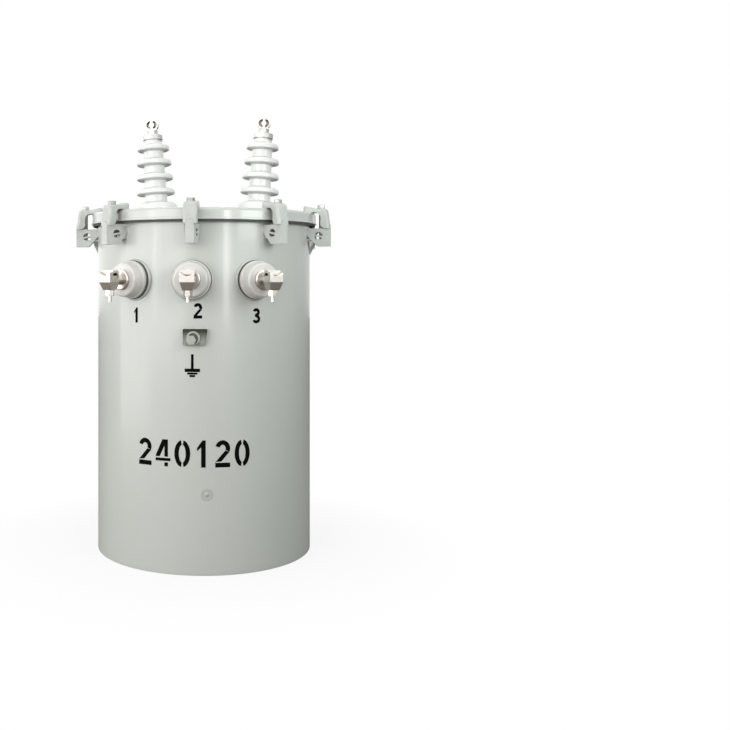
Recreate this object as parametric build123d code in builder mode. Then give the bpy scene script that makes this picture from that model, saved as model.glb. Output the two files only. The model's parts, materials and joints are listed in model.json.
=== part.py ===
from build123d import *
from math import asin, atan2, cos, degrees, hypot, radians, sin
import os

os.makedirs("parts", exist_ok=True)

# Pole mounted distribution transformer, single phase, in millimetres, +Z up.
# The origin is on the tank's axis at the underside of its bottom plate. The low voltage
# side faces -Y, and an azimuth is counted from -Y towards +X.

# Tank
tank_radius = 305.0
wall_thickness = 3.0
bottom_thickness = 5.0
rim_top = 941.0
rim_width = 11.0
rim_height = 12.0
rim_round = 3.0
oil_drop = 18.0
oil_clearance = 0.3

# Cover
gasket_thickness = 6.0
gasket_apron_drop = 6.0
cover_thickness = 3.0
cover_overhang = 18.0
cover_round = 8.0
skirt_height = 31.0
lip_height = 5.0
lip_width = 1.6
cover_land = 38.0
dome_rise = 17.0

# Clamp ears on the tank wall
clamp_count = 9
ear_beyond_cover = 44.0
ear_skirt_gap = 13.0
ear_front_width = 22.0
ear_back_width = 40.0
ear_height = 50.0
ear_sheet = 3.0
ear_foot = 36.0
ear_foot_rise = 32.0
ear_tongue_radius = 11.0
ear_hole_radius = 11.0
ear_hole_reach = 31.0
ear_hole_drop = 22.0
ear_hole_bar = 5.0
ear_hole_bar_tilt = -12.0
bridge_thickness = 4.0
bridge_drop = 34.0

# Clamp hooks and their bolts
hook_width = 37.0
hook_sheet = 3.5
hook_corner = 8.0
hook_leg_depth = 25.0
hook_leg_lean = 8.0
hook_seat_height = 55.5
hook_seat_inside = 13.3
hook_bend = 10.0
hook_arm_height = 64.0
hook_nose_reach = 12.0
hook_nose_width = 9.0
hook_nose_bend = 5.0
hook_throat = 16.0
hook_foot_round = 12.0
hook_clearance = 0.3
clamp_bolt_radius = 6.0
clamp_bolt_beyond_cover = 18.0
clamp_bolt_clearance = 0.5
clamp_head_size = 19.0
clamp_head_height = 8.0
clamp_head_chamfer = 0.8
clamp_washer_radius = 10.5
clamp_washer_thickness = 2.0
clamp_nut_height = 9.0

# High voltage bushings on the cover
hv_spread = 153.0
hv_setback = 100.0
hv_seat_margin = 4.0
hv_seat_height = 5.0
hv_gasket_thickness = 3.0
hv_shank_radius = 33.0
hv_shank_length = 24.0
hv_hole_clearance = 1.5
hv_bell_radius = 63.0
hv_bell_height = 27.0
hv_bell_slope = 5.0
hv_bell_round = 15.0
hv_core_bottom_radius = 33.5
hv_core_top_radius = 28.5
hv_core_cove = 4.0
hv_shed_radii = (58.0, 55.3, 52.8, 48.8)
hv_first_shed = 61.5
hv_shed_pitch = 44.5
hv_shed_rise = 12.5
hv_shed_drop = 9.5
hv_lip_below = 8.0
hv_lip_round = 5.0
hv_shoulder_above = 6.5
hv_shoulder_round = 10.0
hv_above_sheds = 17.0
hv_ring_height = 5.5
hv_ring_radius = 27.5
hv_groove_radius = 25.0
hv_groove_height = 3.0
hv_cap_radius = 29.5
hv_cap_height = 15.3
hv_cap_round = 4.0
hv_neck_size = 28.0
hv_neck_height = 13.5
hv_eye_width = 40.0
hv_eye_height = 33.5
hv_eye_depth = 18.0
hv_eye_wall = 4.0
hv_pocket_depth = 11.0
hv_keeper_radius = 7.5
hv_screw_radius = 4.0

# Low voltage bushings on the front of the tank
lv_count = 3
lv_spacing_angle = 31.2
lv_ear_gap = 38.0
lv_boss_radius = 55.0
lv_boss_proud = 4.0
lv_boss_round = 3.5
lv_hole_radius = 32.0
lv_hole_clearance = 1.5
lv_gasket_radius = 51.0
lv_gasket_thickness = 8.0
lv_flange_radius = 50.0
lv_flange_thickness = 8.0
lv_flange_round = 2.0
lv_body_radius = 47.0
lv_front_radius = 44.0
lv_front_round = 5.0
lv_body_length = 39.0
lv_shank_length = 29.0
lv_nut_radius = 26.5
lv_nut_thickness = 8.0
lv_nut_round = 3.0
lv_barrel_radius = 13.0
lv_barrel_length = 23.0
lv_eye_width = 37.0
lv_eye_depth = 35.0
lv_eye_above = 24.0
lv_eye_below = 26.0
lv_eye_taper_height = 20.0
lv_eye_foot_width = 26.0
lv_eye_foot_round = 12.0
lv_eye_slant = 9.0
lv_eye_edge_round = 3.0
lv_eye_top_round = 5.0
lv_lip_drop = 8.0
lv_lip_depth = 10.0
lv_saddle_radius = 22.0
lv_saddle_drop = 6.0
lv_saddle_depth = 12.0
lv_wire_hole_radius = 10.5
lv_wire_hole_reach = 14.0
lv_wire_hole_rise = 7.0
lv_pad_rise = 3.5
lv_pad_clearance = 0.3
lv_pad_inset = 1.2
lv_screw_reach = 14.0
lv_screw_radius = 4.4
lv_screw_clearance = 0.3
lv_screw_grip = 6.0
lv_screw_length = 16.0
lv_screw_chamfer = 0.8
lv_collar_size = 20.0
lv_collar_height = 15.0

# Ground pad
pad_drop = 147.0
pad_shift = 8.0
pad_width = 64.0
pad_height = 41.0
pad_slant = 6.5
pad_proud = 10.0
pad_round = 3.0
pad_ring_shift = -4.5
pad_ring_drop = 3.0
pad_ring_radius = 18.0
pad_ring_bore = 13.0
pad_ring_thickness = 4.0
pad_bolt_shift = -4.2
pad_bolt_drop = 4.2
pad_bolt_shank = 6.0
pad_bolt_size = 23.0
pad_bolt_height = 10.0

# Lifting lugs at the two sides
lug_width = 40.0
lug_thickness = 7.0
lug_gap = 9.0
lug_foot_drop = 19.0
lug_bend_rise = 27.0
lug_height = 60.0
lug_round = 8.0

# Hanger brackets at the back, for bolting to the pole
bracket_spacing = 590.6
bracket_low_level = 160.0
bracket_width = 110.0
bracket_height = 90.0
bracket_reach = 75.0
bracket_sheet = 8.0
bracket_bend = 14.0
bracket_hole_radius = 11.0

# Radii and levels worked out from the sizes above
tank_inside = tank_radius - wall_thickness
cover_radius = tank_radius + cover_overhang
cover_top = rim_top + gasket_thickness + cover_thickness
skirt_bottom = cover_top - skirt_height
ear_top = skirt_bottom - ear_skirt_gap
ear_bottom = ear_top - ear_height
ear_outside = cover_radius + ear_beyond_cover
bolt_circle = cover_radius + clamp_bolt_beyond_cover
lv_height = ear_bottom - lv_ear_gap - lv_boss_radius
lv_face = tank_radius + lv_boss_proud
oil_level = lv_height - lv_boss_radius - oil_drop
pad_level = lv_height - pad_drop
lug_bottom = ear_bottom - lug_foot_drop
lv_azimuths = [lv_spacing_angle * (i - (lv_count - 1) / 2) for i in range(lv_count)]


def outward_plane(azimuth, height, reach=0.0):
    """A plane facing outwards at an azimuth: local x runs sideways and local y is up."""
    turn = radians(azimuth)
    outward = (sin(turn), -cos(turn), 0)
    return Plane(
        origin=(reach * outward[0], reach * outward[1], height),
        x_dir=(cos(turn), sin(turn), 0),
        z_dir=outward,
    )


def section_plane(azimuth):
    """The upright plane through the tank's axis: local x is the distance from it, local y is up."""
    turn = radians(azimuth)
    return Plane(
        origin=(0, 0, 0),
        x_dir=(sin(turn), -cos(turn), 0),
        z_dir=(-cos(turn), -sin(turn), 0),
    )


# Tank wall: a rolled sheet with three flat bosses for the low voltage bushings
with BuildPart() as tank_wall:
    Cylinder(tank_radius, rim_top, align=(Align.CENTER, Align.CENTER, Align.MIN))
    for azimuth in lv_azimuths:
        with BuildSketch(outward_plane(azimuth, lv_height)):
            Circle(lv_boss_radius)
        extrude(amount=lv_face)
        boss_centre = outward_plane(azimuth, lv_height, lv_face).origin
        fillet(tank_wall.faces().sort_by_distance(boss_centre)[0].edges(), lv_boss_round)
    Cylinder(tank_inside, rim_top, align=(Align.CENTER, Align.CENTER, Align.MIN), mode=Mode.SUBTRACT)
    for azimuth in lv_azimuths:
        with BuildSketch(outward_plane(azimuth, lv_height)):
            Circle(lv_hole_radius)
        extrude(amount=lv_face, mode=Mode.SUBTRACT)

tank_wall.part.label = "tank_wall"
export_step(tank_wall.part, "parts/tank_wall.step")

# Bottom plate, set flush inside the wall
with BuildPart() as tank_bottom:
    Cylinder(tank_inside, bottom_thickness, align=(Align.CENTER, Align.CENTER, Align.MIN))

tank_bottom.part.label = "tank_bottom"
export_step(tank_bottom.part, "parts/tank_bottom.step")

# Core, coils and oil: one sealed mass up to the oil level
with BuildPart() as core_and_oil:
    with BuildSketch(Plane.XY.offset(bottom_thickness)):
        Circle(tank_inside - oil_clearance)
    extrude(amount=oil_level - bottom_thickness)

core_and_oil.part.label = "core_and_oil"
export_step(core_and_oil.part, "parts/core_and_oil.step")

# Rolled rim round the top of the wall
with BuildPart() as tank_rim:
    with BuildSketch(Plane.XY.offset(rim_top - rim_height)):
        Circle(tank_radius + rim_width)
        Circle(tank_radius, mode=Mode.SUBTRACT)
    extrude(amount=rim_height)
    fillet(tank_rim.edges().filter_by(GeomType.CIRCLE).group_by(SortBy.RADIUS)[-1], rim_round)

tank_rim.part.label = "tank_rim"
export_step(tank_rim.part, "parts/tank_rim.step")

# Rubber ring between the rim and the cover, with an apron that fills the skirt and shows below it
under = rim_top + gasket_thickness
apron_foot = skirt_bottom - gasket_apron_drop
cover_inside = cover_radius - cover_thickness
cover_bend = cover_round - cover_thickness
with BuildPart() as cover_gasket:
    with BuildSketch(Plane.XZ):
        Polygon(
            (tank_inside, rim_top),
            (tank_radius + rim_width, rim_top),
            (tank_radius + rim_width, apron_foot),
            (cover_inside, apron_foot),
            (cover_inside, under - cover_bend),
            (cover_inside - cover_bend, under),
            (tank_inside, under),
            align=None,
        )
    revolve(axis=Axis.Z)

cover_gasket.part.label = "cover_gasket"
export_step(cover_gasket.part, "parts/cover_gasket.step")

# The dome is a part of a sphere, and each high voltage bushing stands square to it
dome_radius = cover_radius - cover_land
dome_sphere = (dome_radius**2 + dome_rise**2) / (2 * dome_rise)
hv_lean = degrees(asin(hypot(hv_spread, hv_setback) / dome_sphere))
hv_seat_level = cover_top + dome_rise - dome_sphere * (1 - cos(radians(hv_lean))) + hv_seat_height


def dome_point(share, land):
    """A point of the dome's section over a land: share 0 is the crown and 1 is the dome's edge."""
    angle = share * asin(dome_radius / dome_sphere)
    return (dome_sphere * sin(angle), land + dome_rise - dome_sphere * (1 - cos(angle)))


def hv_plane(side, height=0.0):
    """The seat of a high voltage bushing, side -1 or 1, raised along its leaning axis."""
    bearing = atan2(hv_setback, side * hv_spread)
    lean = radians(hv_lean)
    axis = Vector(sin(lean) * cos(bearing), sin(lean) * sin(bearing), cos(lean))
    sideways = Vector(axis.Z, 0, -axis.X).normalized()
    return Plane(
        origin=Vector(side * hv_spread, hv_setback, hv_seat_level) + axis * height,
        x_dir=sideways,
        z_dir=axis,
    )


# Cover: a pressed dome with a flat land for the clamps, a turned down skirt and two raised seats
with BuildPart() as cover:
    with BuildSketch(Plane.XZ):
        with BuildLine():
            Polyline(
                (cover_inside, skirt_bottom),
                (cover_radius + lip_width, skirt_bottom),
                (cover_radius + lip_width, skirt_bottom + lip_height - lip_width),
                (cover_radius, skirt_bottom + lip_height),
                (cover_radius, cover_top - cover_round),
            )
            RadiusArc(
                (cover_radius, cover_top - cover_round), (cover_radius - cover_round, cover_top), -cover_round
            )
            Line((cover_radius - cover_round, cover_top), (dome_radius, cover_top))
            ThreePointArc((dome_radius, cover_top), dome_point(0.5, cover_top), dome_point(0, cover_top))
            Line(dome_point(0, cover_top), dome_point(0, under))
            ThreePointArc(dome_point(0, under), dome_point(0.5, under), (dome_radius, under))
            Line((dome_radius, under), (cover_inside - cover_bend, under))
            RadiusArc((cover_inside - cover_bend, under), (cover_inside, under - cover_bend), cover_bend)
            Line((cover_inside, under - cover_bend), (cover_inside, skirt_bottom))
        make_face()
    revolve(axis=Axis.Z)
    for side in (-1, 1):
        with BuildSketch(hv_plane(side)):
            Circle(hv_bell_radius + hv_seat_margin)
        extrude(amount=-2 * hv_seat_height - cover_thickness)
        with BuildSketch(hv_plane(side)):
            Circle(hv_shank_radius + hv_hole_clearance)
        extrude(amount=-2 * hv_bell_radius, mode=Mode.SUBTRACT)

cover.part.label = "cover"
export_step(cover.part, "parts/cover.step")

# Clamp ear: a splayed channel welded to the wall, with a rounded tongue at the top of its web
with BuildPart() as ear:
    with BuildSketch(Plane.XY.offset(ear_bottom)):
        Polygon(
            (-ear_front_width / 2, -ear_outside),
            (ear_front_width / 2, -ear_outside),
            (ear_back_width / 2, -tank_inside),
            (-ear_back_width / 2, -tank_inside),
            align=None,
        )
    extrude(amount=ear_height)
    with BuildSketch(section_plane(0)):
        Polygon(
            (tank_inside, ear_bottom),
            (ear_outside - ear_foot, ear_bottom),
            (tank_inside, ear_bottom + ear_foot_rise),
            align=None,
        )
    extrude(amount=ear_back_width / 2, both=True, mode=Mode.SUBTRACT)
    channel_inside = [
        (-ear_front_width / 2 + ear_sheet, -ear_outside + ear_sheet),
        (ear_front_width / 2 - ear_sheet, -ear_outside + ear_sheet),
        (ear_back_width / 2 - ear_sheet, -tank_inside),
        (-ear_back_width / 2 + ear_sheet, -tank_inside),
    ]
    with BuildSketch(Plane.XY.offset(ear_bottom)):
        Polygon(*channel_inside, align=None)
    extrude(amount=ear_height, mode=Mode.SUBTRACT)
    with BuildSketch(section_plane(0)):
        with Locations((tank_radius + ear_hole_reach, ear_top - ear_hole_drop)):
            Circle(ear_hole_radius)
            Rectangle(
                2 * ear_hole_radius, ear_hole_bar, rotation=ear_hole_bar_tilt, mode=Mode.SUBTRACT
            )
    extrude(amount=ear_back_width / 2, both=True, mode=Mode.SUBTRACT)
    with BuildSketch(Plane.XY.offset(ear_top - bridge_drop)):
        Polygon(*channel_inside, align=None)
        with Locations((0, -bolt_circle)):
            Circle(clamp_bolt_radius + clamp_bolt_clearance, mode=Mode.SUBTRACT)
    extrude(amount=bridge_thickness)
    with BuildSketch(outward_plane(0, ear_top, ear_outside)):
        Circle(ear_tongue_radius)
    extrude(amount=-ear_sheet)
    Cylinder(tank_radius, rim_top, align=(Align.CENTER, Align.CENTER, Align.MIN), mode=Mode.SUBTRACT)

with BuildPart() as clamp_ears:
    with PolarLocations(0, clamp_count):
        add(ear.part)

clamp_ears.part.label = "clamp_ears"
export_step(clamp_ears.part, "parts/clamp_ears.step")

# Clamp hook: an arched pressed channel from the ear's tongue over the rim to the cover's land
hook_seat = ear_top + hook_seat_height
hook_arm_top = ear_top + hook_arm_height
hook_nose = tank_radius - hook_nose_reach
seat_end = bolt_circle - hook_seat_inside
leg_inside = ear_outside - hook_leg_depth
throat_top = cover_top + hook_clearance
with BuildPart() as hook_skin:
    with BuildSketch(section_plane(0)):
        with BuildLine():
            FilletPolyline(
                (ear_outside, ear_top),
                (ear_outside - hook_leg_lean, hook_seat),
                (seat_end, hook_seat),
                (hook_nose, hook_arm_top),
                (hook_nose, cover_top),
                radius=[hook_bend, hook_bend, hook_nose_bend],
            )
            Polyline(
                (hook_nose, cover_top),
                (hook_nose + hook_nose_width, cover_top),
                (hook_nose + hook_nose_width, throat_top),
                (leg_inside - hook_throat, throat_top),
            )
            RadiusArc(
                (leg_inside - hook_throat, throat_top), (leg_inside, throat_top - hook_throat), hook_throat
            )
            Line((leg_inside, throat_top - hook_throat), (leg_inside, ear_top + hook_foot_round))
            RadiusArc(
                (leg_inside, ear_top + hook_foot_round),
                (leg_inside + hook_foot_round, ear_top),
                -hook_foot_round,
            )
            Line((leg_inside + hook_foot_round, ear_top), (ear_outside, ear_top))
        make_face()
    extrude(amount=hook_width / 2, both=True)
    flanks = hook_skin.faces().sort_by(Axis.X)
    outer_edges = (
        (flanks[0].edges() + flanks[-1].edges())
        .filter_by(lambda e: e.center().Z > ear_top + hook_clearance)
        .filter_by(
            lambda e: -e.center().Y > leg_inside + hook_leg_lean
            or e.center().Z > hook_seat - hook_bend
        )
    )
    fillet(outer_edges, hook_corner)

with BuildPart() as hook_hollow:
    with BuildSketch(section_plane(0)):
        with BuildLine():
            FilletPolyline(
                (ear_outside - hook_sheet, ear_top - hook_sheet),
                (ear_outside - hook_leg_lean - hook_sheet, hook_seat - hook_sheet),
                (seat_end, hook_seat - hook_sheet),
                (hook_nose + hook_sheet, hook_arm_top - hook_sheet),
                (hook_nose + hook_sheet, cover_top - hook_sheet),
                radius=[hook_bend - hook_sheet, hook_bend, hook_nose_bend - hook_sheet],
            )
            Polyline(
                (hook_nose + hook_sheet, cover_top - hook_sheet),
                (leg_inside - 2 * hook_throat, ear_top - hook_sheet),
                (ear_outside - hook_sheet, ear_top - hook_sheet),
            )
        make_face()
    extrude(amount=hook_width / 2 - hook_sheet, both=True)

with BuildPart() as hook:
    add(hook_skin.part)
    add(hook_hollow.part, mode=Mode.SUBTRACT)
    with BuildSketch(outward_plane(0, ear_top, ear_outside)):
        Circle(ear_tongue_radius + hook_clearance)
    extrude(amount=-hook_leg_depth / 2, mode=Mode.SUBTRACT)
    with BuildSketch(Plane.XY.offset(hook_seat)):
        with Locations((0, -bolt_circle)):
            Circle(clamp_bolt_radius + clamp_bolt_clearance)
    extrude(amount=-hook_leg_depth, mode=Mode.SUBTRACT)

for i in range(clamp_count):
    clamp_hook = hook.part.rotate(Axis.Z, i * 360 / clamp_count)
    clamp_hook.label = f"clamp_hook_{i + 1}"
    export_step(clamp_hook, f"parts/clamp_hook_{i + 1}.step")

# Clamp bolt: head and washer on the hook, and a nut drawn up under the ear's bridge
nut_bottom = ear_top - bridge_drop - clamp_nut_height
with BuildPart() as bolt:
    with BuildSketch(Plane.XY.offset(hook_seat)):
        with Locations((0, -bolt_circle)):
            Circle(clamp_washer_radius)
    extrude(amount=clamp_washer_thickness)
    with BuildSketch(Plane.XY.offset(hook_seat + clamp_washer_thickness)):
        with Locations((0, -bolt_circle)):
            RegularPolygon(clamp_head_size / 2, 6, major_radius=False)
    extrude(amount=clamp_head_height)
    chamfer(bolt.edges().group_by(Axis.Z)[-1], clamp_head_chamfer)
    with BuildSketch(Plane.XY.offset(nut_bottom)):
        with Locations((0, -bolt_circle)):
            RegularPolygon(clamp_head_size / 2, 6, major_radius=False)
    extrude(amount=clamp_nut_height)
    with BuildSketch(Plane.XY.offset(nut_bottom)):
        with Locations((0, -bolt_circle)):
            Circle(clamp_bolt_radius)
    extrude(amount=hook_seat - nut_bottom)

with BuildPart() as clamp_bolts:
    with PolarLocations(0, clamp_count):
        add(bolt.part)

clamp_bolts.part.label = "clamp_bolts"
export_step(clamp_bolts.part, "parts/clamp_bolts.step")

# Outline of the high voltage porcelain, from the core's foot on the bell up over its sheds
shed_count = len(hv_shed_radii)
core_taper = (hv_core_bottom_radius - hv_core_top_radius) / shed_count
bell_top = hv_gasket_thickness + hv_bell_height
hv_outline = [
    (hv_bell_radius, hv_gasket_thickness),
    (hv_bell_radius, bell_top - hv_bell_slope),
    (hv_core_bottom_radius, bell_top),
]
hv_rounds = [hv_bell_round, hv_core_cove]
for i, shed_radius in enumerate(hv_shed_radii):
    shed_level = hv_first_shed + i * hv_shed_pitch
    hv_outline += [
        (hv_core_bottom_radius - core_taper * i, shed_level - hv_shed_drop),
        (shed_radius, shed_level - hv_lip_below),
        (shed_radius, shed_level + hv_shoulder_above),
        (hv_core_bottom_radius - core_taper * (i + 1), shed_level + hv_shed_rise),
    ]
    hv_rounds += [hv_core_cove, hv_lip_round, hv_shoulder_round, hv_core_cove]
hv_porcelain_height = hv_first_shed + (shed_count - 1) * hv_shed_pitch + hv_above_sheds
hv_outline.append((hv_core_top_radius, hv_porcelain_height))

for side, name in ((-1, "left"), (1, "right")):
    # Porcelain: a bell on the cover, a tapering core with its sheds, and a shank through the cover
    with BuildPart() as hv_bushing:
        with BuildSketch(Plane.XZ):
            with BuildLine():
                Polyline(
                    (hv_core_top_radius, hv_porcelain_height),
                    (0, hv_porcelain_height),
                    (0, -hv_shank_length),
                    (hv_shank_radius, -hv_shank_length),
                    (hv_shank_radius, hv_gasket_thickness),
                    (hv_bell_radius, hv_gasket_thickness),
                )
                FilletPolyline(*hv_outline, radius=hv_rounds)
            make_face()
        revolve(axis=Axis.Z)
    hv_part = hv_plane(side).location * hv_bushing.part
    hv_part.label = f"hv_bushing_{name}"
    export_step(hv_part, f"parts/hv_bushing_{name}.step")

    # Metal cap, with a groove round its foot, and a hexagonal neck
    groove_level = hv_porcelain_height + hv_ring_height
    hv_cap_top = groove_level + hv_groove_height + hv_cap_height
    with BuildPart() as hv_cap:
        with BuildSketch(hv_plane(side, hv_porcelain_height)):
            Circle(hv_cap_radius)
        extrude(amount=hv_cap_top - hv_porcelain_height)
        fillet(hv_cap.edges().filter_by(GeomType.CIRCLE).sort_by(Axis.Z)[-1], hv_cap_round)
        with BuildSketch(hv_plane(side, hv_porcelain_height)):
            Circle(hv_cap_radius)
            Circle(hv_ring_radius, mode=Mode.SUBTRACT)
        extrude(amount=hv_ring_height, mode=Mode.SUBTRACT)
        with BuildSketch(hv_plane(side, groove_level)):
            Circle(hv_cap_radius)
            Circle(hv_groove_radius, mode=Mode.SUBTRACT)
        extrude(amount=hv_groove_height, mode=Mode.SUBTRACT)
        with BuildSketch(hv_plane(side, hv_cap_top)):
            RegularPolygon(hv_neck_size / 2, 6, major_radius=False)
        extrude(amount=hv_neck_height)
    hv_cap.part.label = f"hv_cap_{name}"
    export_step(hv_cap.part, f"parts/hv_cap_{name}.step")

    # Terminal for the line wire: an oval cup facing the front, with a round keeper in it and its screw
    eye_centre = hv_plane(side, hv_cap_top + hv_neck_height + hv_eye_height / 2)
    eye_middle = Plane(origin=eye_centre.origin, x_dir=eye_centre.x_dir, z_dir=-eye_centre.y_dir)
    with BuildPart() as hv_terminal:
        with BuildSketch(eye_middle):
            Ellipse(hv_eye_width / 2, hv_eye_height / 2)
            Rectangle(hv_neck_size, hv_eye_height / 2, align=(Align.CENTER, Align.MAX))
        extrude(amount=hv_eye_depth / 2, both=True)
        with BuildSketch(eye_middle.offset(hv_eye_depth / 2)):
            Ellipse(hv_eye_width / 2 - hv_eye_wall, hv_eye_height / 2 - hv_eye_wall)
            Circle(hv_keeper_radius, mode=Mode.SUBTRACT)
            Rectangle(2 * hv_screw_radius, hv_eye_height, mode=Mode.SUBTRACT)
        extrude(amount=-hv_pocket_depth, mode=Mode.SUBTRACT)
    hv_terminal.part.label = f"hv_terminal_{name}"
    export_step(hv_terminal.part, f"parts/hv_terminal_{name}.step")

# Gaskets under the two high voltage bushings
with BuildPart() as hv_gaskets:
    for side in (-1, 1):
        with BuildSketch(hv_plane(side)):
            Circle(hv_bell_radius)
            Circle(hv_shank_radius + hv_hole_clearance, mode=Mode.SUBTRACT)
        extrude(amount=hv_gasket_thickness)

hv_gaskets.part.label = "hv_gaskets"
export_step(hv_gaskets.part, "parts/hv_gaskets.step")

# Gaskets behind the low voltage bushings
with BuildPart() as lv_gaskets:
    for azimuth in lv_azimuths:
        with BuildSketch(outward_plane(azimuth, lv_height, lv_face)):
            Circle(lv_gasket_radius)
            Circle(lv_hole_radius, mode=Mode.SUBTRACT)
        extrude(amount=lv_gasket_thickness)

lv_gaskets.part.label = "lv_gaskets"
export_step(lv_gaskets.part, "parts/lv_gaskets.step")

# Distances from the tank's axis along a low voltage bushing
lv_back = lv_face + lv_gasket_thickness
lv_front = lv_back + lv_body_length
barrel_start = lv_front + lv_nut_thickness
eye_start = barrel_start + lv_barrel_length
eye_end = eye_start + lv_eye_depth
eye_top = lv_height + lv_eye_above
eye_bottom = lv_height - lv_eye_below
lip_top = eye_top - lv_lip_drop
wire_reach = eye_start + lv_wire_hole_reach
wire_level = lv_height + lv_wire_hole_rise
for i, azimuth in enumerate(lv_azimuths):
    number = i + 1

    # Porcelain body: a flange on the gasket, a tapering body with a rounded front, and a shank
    with BuildPart() as lv_bushing:
        with BuildSketch(Plane.XZ):
            with BuildLine():
                Polyline(
                    (0, lv_body_length),
                    (0, -lv_shank_length),
                    (lv_hole_radius - lv_hole_clearance, -lv_shank_length),
                    (lv_hole_radius - lv_hole_clearance, 0),
                    (lv_flange_radius, 0),
                )
                FilletPolyline(
                    (lv_flange_radius, 0),
                    (lv_flange_radius, lv_flange_thickness),
                    (lv_body_radius, lv_flange_thickness),
                    (lv_front_radius, lv_body_length),
                    (0, lv_body_length),
                    radius=[lv_flange_round, lv_flange_round, lv_front_round],
                )
            make_face()
        revolve(axis=Axis.Z)
    lv_part = outward_plane(azimuth, lv_height, lv_back).location * lv_bushing.part
    lv_part.label = f"lv_bushing_{number}"
    export_step(lv_part, f"parts/lv_bushing_{number}.step")

    # Wire eye: a rounded block with a low front lip, a saddle in the lip and a hole for the wire
    screw_foot = outward_plane(azimuth, eye_bottom, eye_start + lv_screw_reach).origin
    with BuildPart() as lv_eye:
        with BuildSketch(section_plane(azimuth)):
            with BuildLine():
                FilletPolyline(
                    (eye_start, eye_bottom),
                    (eye_end - lv_eye_slant, eye_bottom),
                    (eye_end, eye_bottom + lv_eye_taper_height),
                    (eye_end, lip_top),
                    (eye_end - lv_lip_depth, eye_top),
                    (eye_start, eye_top),
                    radius=[
                        lv_eye_foot_round,
                        lv_eye_edge_round,
                        lv_eye_edge_round,
                        lv_eye_top_round,
                        lv_eye_top_round,
                        lv_eye_top_round,
                    ],
                    close=True,
                )
            make_face()
        extrude(amount=lv_eye_width / 2, both=True)
        with BuildSketch(outward_plane(azimuth, lv_height, eye_start)):
            Polygon(
                (-lv_eye_width / 2, lv_eye_above),
                (-lv_eye_width / 2, lv_eye_taper_height - lv_eye_below),
                (-lv_eye_foot_width / 2, -lv_eye_below),
                (lv_eye_foot_width / 2, -lv_eye_below),
                (lv_eye_width / 2, lv_eye_taper_height - lv_eye_below),
                (lv_eye_width / 2, lv_eye_above),
                align=None,
            )
        extrude(amount=lv_eye_depth, mode=Mode.INTERSECT)
        with BuildSketch(outward_plane(azimuth, lip_top - lv_saddle_drop + lv_saddle_radius, eye_end)):
            Circle(lv_saddle_radius)
        extrude(amount=-lv_saddle_depth, mode=Mode.SUBTRACT)
        with BuildSketch(section_plane(azimuth)):
            with Locations((wire_reach, wire_level)):
                Circle(lv_wire_hole_radius)
        extrude(amount=lv_eye_width, both=True, mode=Mode.SUBTRACT)
        with BuildSketch(Plane(origin=screw_foot)):
            Circle(lv_screw_radius + lv_screw_clearance)
        extrude(amount=wire_level - eye_bottom, mode=Mode.SUBTRACT)

    # Terminal: a round flange nut, a barrel and the wire eye
    with BuildPart() as lv_terminal:
        with BuildSketch(outward_plane(azimuth, lv_height, lv_front)):
            Circle(lv_nut_radius)
        extrude(amount=lv_nut_thickness)
        nut_front = outward_plane(azimuth, lv_height, barrel_start).origin
        fillet(lv_terminal.faces().sort_by_distance(nut_front)[0].edges(), lv_nut_round)
        with BuildSketch(outward_plane(azimuth, lv_height, barrel_start)):
            Circle(lv_barrel_radius)
        extrude(amount=lv_barrel_length)
        add(lv_eye.part)
    lv_terminal.part.label = f"lv_terminal_{number}"
    export_step(lv_terminal.part, f"parts/lv_terminal_{number}.step")

    # Clamp screw: a pressure pad in the wire hole, the screw and a hexagonal collar under the eye
    with BuildPart() as lv_clamp_screw:
        with BuildSketch(section_plane(azimuth)):
            with Locations((wire_reach, wire_level)):
                Circle(lv_wire_hole_radius - lv_pad_clearance)
            with Locations((wire_reach, wire_level + lv_pad_rise)):
                Rectangle(
                    2 * lv_wire_hole_radius,
                    lv_wire_hole_radius,
                    align=(Align.CENTER, Align.MIN),
                    mode=Mode.SUBTRACT,
                )
        extrude(amount=lv_eye_width / 2 - lv_pad_inset, both=True)
        with BuildSketch(Plane(origin=screw_foot).offset(-lv_collar_height)):
            RegularPolygon(lv_collar_size / 2, 6, major_radius=False, rotation=azimuth)
        extrude(amount=lv_collar_height)
        with BuildSketch(Plane(origin=screw_foot).offset(-lv_collar_height - lv_screw_length)):
            Circle(lv_screw_radius)
        extrude(amount=lv_collar_height + lv_screw_length + wire_level - eye_bottom - lv_screw_grip)
        chamfer(lv_clamp_screw.edges().group_by(Axis.Z)[0], lv_screw_chamfer)
    lv_clamp_screw.part.label = f"lv_clamp_screw_{number}"
    export_step(lv_clamp_screw.part, f"parts/lv_clamp_screw_{number}.step")

# Ground pad, welded to the wall under the middle bushing: its right side slants in towards the foot
pad_face = tank_radius + pad_proud
pad_right = pad_shift + pad_width / 2
pad_left = pad_shift - pad_width / 2
with BuildPart() as ground_pad:
    with BuildSketch(outward_plane(0, pad_level, pad_face)) as pad_outline:
        Polygon(
            (pad_left, pad_height / 2),
            (pad_right, pad_height / 2),
            (pad_right - pad_slant, -pad_height / 2),
            (pad_left, -pad_height / 2),
            align=None,
        )
        fillet(pad_outline.vertices(), pad_round)
    extrude(amount=-pad_proud - wall_thickness)
    Cylinder(tank_radius, rim_top, align=(Align.CENTER, Align.CENTER, Align.MIN), mode=Mode.SUBTRACT)

ground_pad.part.label = "ground_pad"
export_step(ground_pad.part, "parts/ground_pad.step")

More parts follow.
